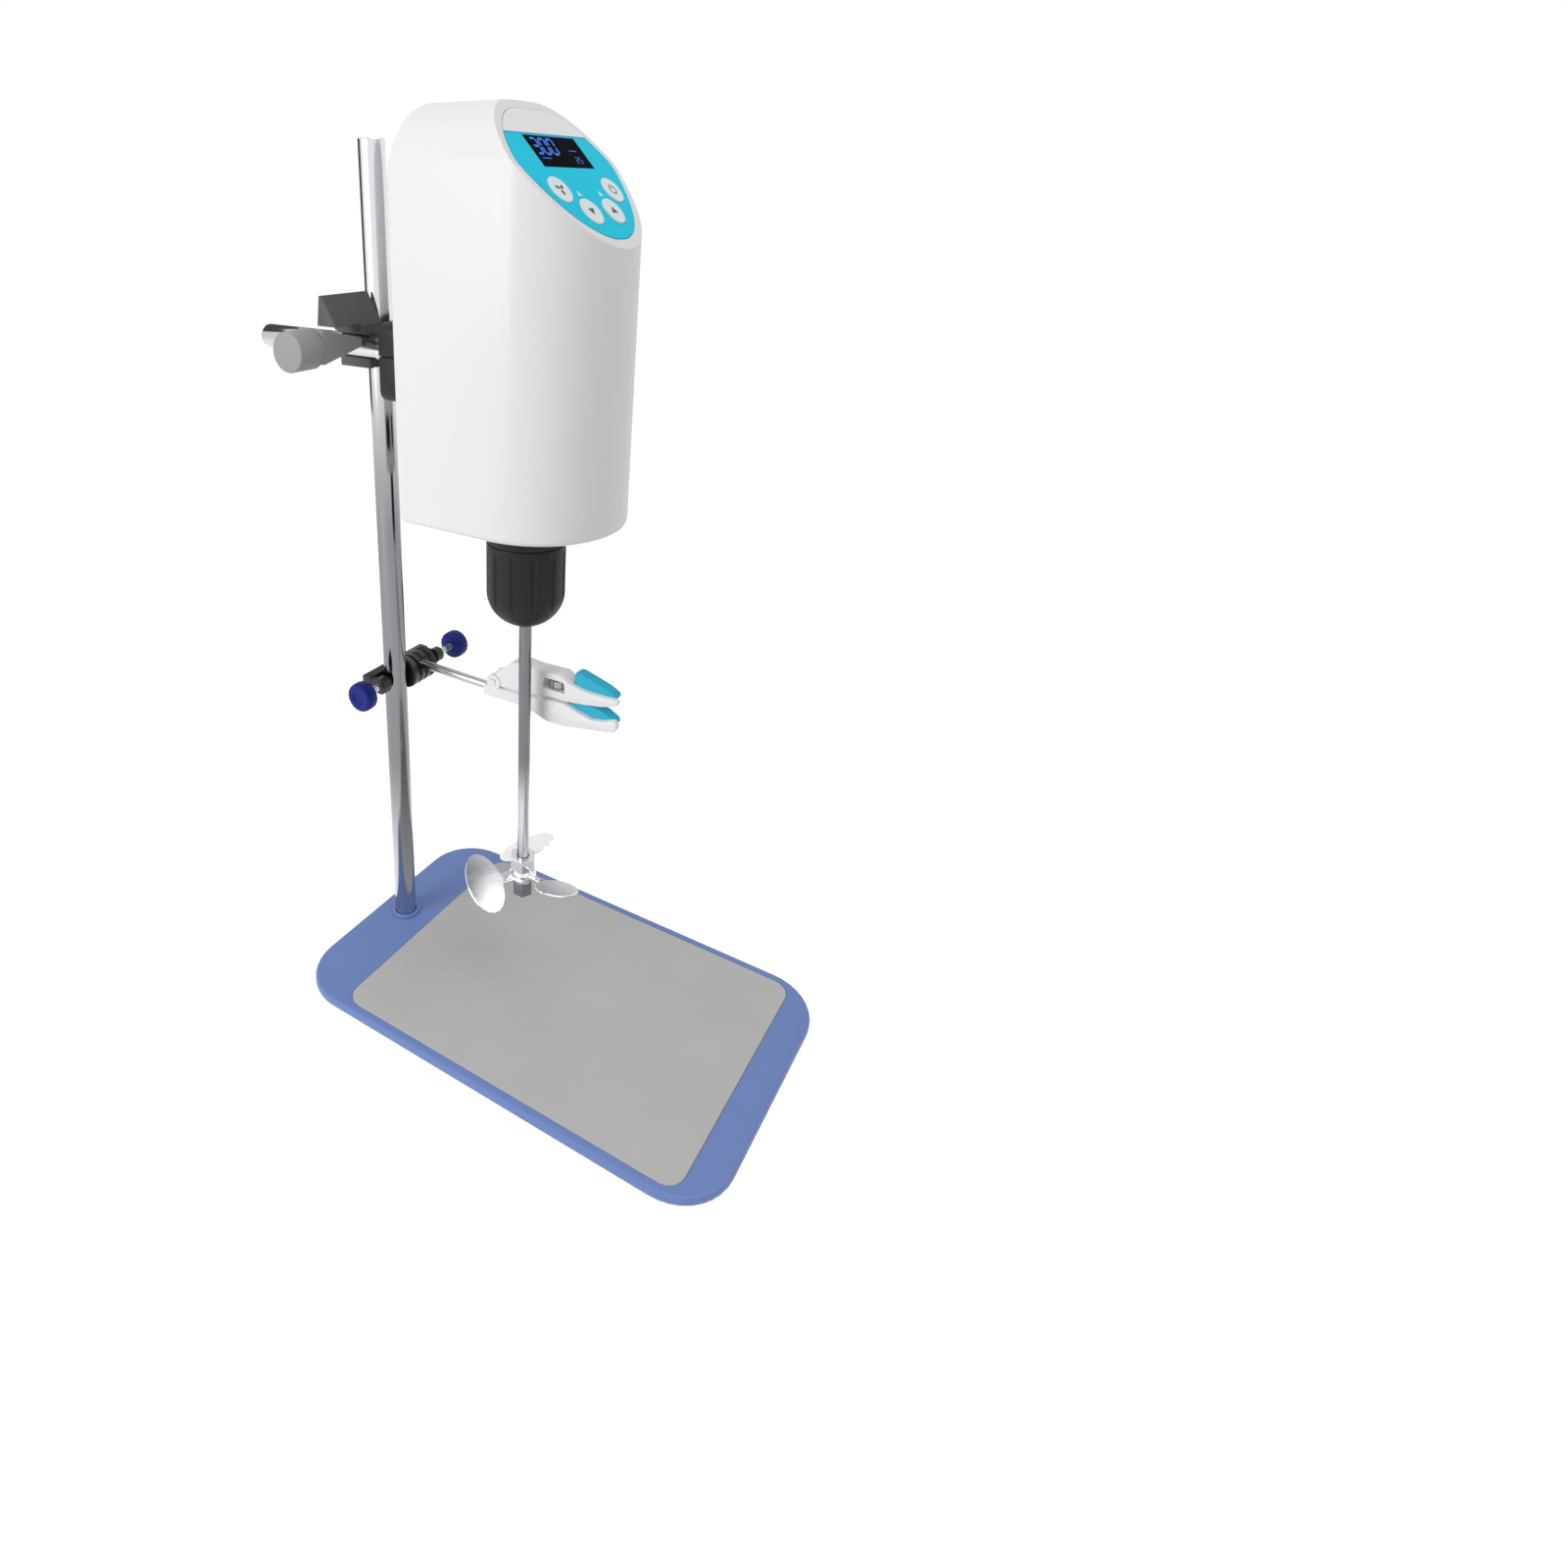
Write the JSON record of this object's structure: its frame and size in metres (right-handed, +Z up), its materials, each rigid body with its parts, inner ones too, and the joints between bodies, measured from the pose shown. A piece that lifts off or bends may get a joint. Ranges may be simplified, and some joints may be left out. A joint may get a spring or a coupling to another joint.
{
  "type": "overhead stirrer",
  "caption": "Overhead laboratory stirrer: motor head with sloping control panel on a plate stand, chuck, shaft with propeller, and a beaker clamp on the column.",
  "frame": {"origin": "centre of the stand plate's outline, on the floor under its feet", "axes": "+Z up along the column; +Y from the plate's front edge to the column at the back; +X across the plate, to the right for someone facing the control panel from the front"},
  "size_m": [0.2, 0.3795, 0.579],
  "materials": {
    "blue_paint": "satin",
    "grey_mat": "matte",
    "black_rubber": "matte",
    "polished_steel": "polished",
    "white_shell": "satin",
    "teal_film": "satin film",
    "dark_glass": "gloss",
    "white_key": "satin",
    "board_green": "satin",
    "black_plastic": "satin",
    "black_casting": "satin",
    "dark_casting": "satin",
    "grey_casting": "satin",
    "blue_knob": "satin",
    "teal_rubber": "matte",
    "copper_winding": "lacquered"
  },
  "bodies": {
    "base": {"base_plate": "blue_paint", "work_mat": "grey_mat", "foot_front_left": "black_rubber", "foot_front_right": "black_rubber", "foot_back_left": "black_rubber", "foot_back_right": "black_rubber", "column": "polished_steel", "column_collar": "blue_paint", "column_screw": "polished_steel"},
    "cross_clamp": {"cross_clamp_body": "dark_casting", "cross_clamp_arm": "grey_casting"},
    "rod_clamp_screw": {"rod_grip": "grey_casting", "rod_screw": "polished_steel"},
    "column_lock_screw": {"lock_grip": "grey_casting", "lock_screw": "polished_steel"},
    "motor_head": {"housing_shell": "white_shell", "housing_floor": "black_plastic", "panel_fascia": "teal_film", "display_window": "dark_glass", "control_board": "board_green", "motor_can": "dark_casting", "motor_windings": "copper_winding", "bearing_lower": "polished_steel", "bearing_upper": "polished_steel", "mount_upper": "black_plastic", "mount_lower": "black_plastic", "support_rod": "polished_steel", "power_inlet": "black_plastic", "switch_frame": "black_plastic"},
    "key_left": {"button_left": "white_key"},
    "key_lower_left": {"button_lower_left": "white_key"},
    "key_lower_right": {"button_lower_right": "white_key"},
    "key_right": {"button_right": "white_key"},
    "rocker": {"switch_rocker": "black_plastic"},
    "spindle": {"spindle": "polished_steel", "rotor": "dark_casting", "chuck_body": "black_plastic"},
    "sleeve": {"chuck_sleeve": "black_plastic"},
    "jaw_1": {"chuck_jaw_1": "polished_steel"},
    "jaw_2": {"chuck_jaw_2": "polished_steel"},
    "jaw_3": {"chuck_jaw_3": "polished_steel"},
    "stirrer_shaft": {"stirring_shaft": "polished_steel", "propeller": "polished_steel", "upper_nut": "polished_steel", "lower_nut": "polished_steel"},
    "boss_head": {"boss_head_body": "black_casting"},
    "left_thumb_screw": {"left_knob": "blue_knob", "left_screw": "polished_steel"},
    "right_thumb_screw": {"right_knob": "blue_knob", "right_screw": "polished_steel"},
    "clamp": {"clamp_rod": "polished_steel", "clamp_body": "white_shell", "clamp_pin": "polished_steel", "lower_pad": "teal_rubber"},
    "clamp_jaw": {"clamp_jaw": "white_shell", "upper_pad": "teal_rubber"},
    "setter": {"setting_screw": "polished_steel"}
  },
  "joints": [
    {"name": "cross_clamp_height", "type": "slide", "parent": "base", "child": "cross_clamp", "axis": [0, 0, 1], "range_m": [-0.01, 0.04]},
    {"name": "rod_clamp_turn", "type": "hinge", "parent": "cross_clamp", "child": "rod_clamp_screw", "pos_m": [-0.0597, 0.1405, 0.451], "axis": [1, 0, 0], "range_deg": [0, 720]},
    {"name": "column_lock_turn", "type": "hinge", "parent": "cross_clamp", "child": "column_lock_screw", "pos_m": [0.024, 0.1405, 0.4485], "axis": [1, 0, 0], "range_deg": [0, 720]},
    {"name": "head_reach", "type": "slide", "parent": "cross_clamp", "child": "motor_head", "axis": [0, 1, 0], "range_m": [-0.05, 0.025]},
    {"name": "key_left_press", "type": "slide", "parent": "motor_head", "child": "key_left", "axis": [0, 0.7254, -0.6884], "range_m": [0, 0.0007], "stiffness_N_per_m": 800},
    {"name": "key_lower_left_press", "type": "slide", "parent": "motor_head", "child": "key_lower_left", "axis": [0, 0.7254, -0.6884], "range_m": [0, 0.0007], "stiffness_N_per_m": 800},
    {"name": "key_lower_right_press", "type": "slide", "parent": "motor_head", "child": "key_lower_right", "axis": [0, 0.7254, -0.6884], "range_m": [0, 0.0007], "stiffness_N_per_m": 800},
    {"name": "key_right_press", "type": "slide", "parent": "motor_head", "child": "key_right", "axis": [0, 0.7254, -0.6884], "range_m": [0, 0.0007], "stiffness_N_per_m": 800},
    {"name": "rocker_tilt", "type": "hinge", "parent": "motor_head", "child": "rocker", "pos_m": [0.02, 0.082, 0.386], "axis": [1, 0, 0], "range_deg": [-8, 8]},
    {"name": "spindle_spin", "type": "hinge", "parent": "motor_head", "child": "spindle", "pos_m": [0, 0.03, 0.355], "axis": [0, 0, 1], "continuous": true},
    {"name": "sleeve_turn", "type": "hinge", "parent": "spindle", "child": "sleeve", "pos_m": [0, 0.03, 0.3403], "axis": [0, 0, 1], "range_deg": [0, 60]},
    {"name": "jaw_1_slide", "type": "slide", "parent": "spindle", "child": "jaw_1", "axis": [0, 1, 0], "range_m": [0, 0.001]},
    {"name": "jaw_2_slide", "type": "slide", "parent": "spindle", "child": "jaw_2", "axis": [-0.866, -0.5, 0], "range_m": [0, 0.001]},
    {"name": "jaw_3_slide", "type": "slide", "parent": "spindle", "child": "jaw_3", "axis": [0.866, -0.5, 0], "range_m": [0, 0.001]},
    {"name": "shaft_reach", "type": "slide", "parent": "spindle", "child": "stirrer_shaft", "axis": [0, 0, 1], "range_m": [-0.02, 0.02]},
    {"name": "boss_head_height", "type": "slide", "parent": "base", "child": "boss_head", "axis": [0, 0, 1], "range_m": [-0.03, 0.01]},
    {"name": "left_screw_turn", "type": "hinge", "parent": "boss_head", "child": "left_thumb_screw", "pos_m": [-0.0295, 0.1405, 0.214], "axis": [1, 0, 0], "range_deg": [0, 720]},
    {"name": "right_screw_turn", "type": "hinge", "parent": "boss_head", "child": "right_thumb_screw", "pos_m": [0.064, 0.1405, 0.214], "axis": [1, 0, 0], "range_deg": [0, 720]},
    {"name": "clamp_roll", "type": "hinge", "parent": "boss_head", "child": "clamp", "pos_m": [0.0195, 0.0735, 0.2198], "axis": [0, 1, 0], "range_deg": [0, 90]},
    {"name": "jaw_open", "type": "hinge", "parent": "clamp", "child": "clamp_jaw", "pos_m": [0.0195, 0.0645, 0.2276], "axis": [-1, 0, 0], "range_deg": [0, 9]},
    {"name": "setter_turn", "type": "hinge", "parent": "clamp_jaw", "child": "setter", "pos_m": [0.0195, 0.016, 0.2373], "axis": [0, 0, 1], "range_deg": [0, 360]}
  ],
  "couplings": [
    {"joint": "jaw_1_slide", "follows": "sleeve_turn", "m_per_rad": 0.00095},
    {"joint": "jaw_2_slide", "follows": "sleeve_turn", "m_per_rad": 0.00095},
    {"joint": "jaw_3_slide", "follows": "sleeve_turn", "m_per_rad": 0.00095}
  ]
}
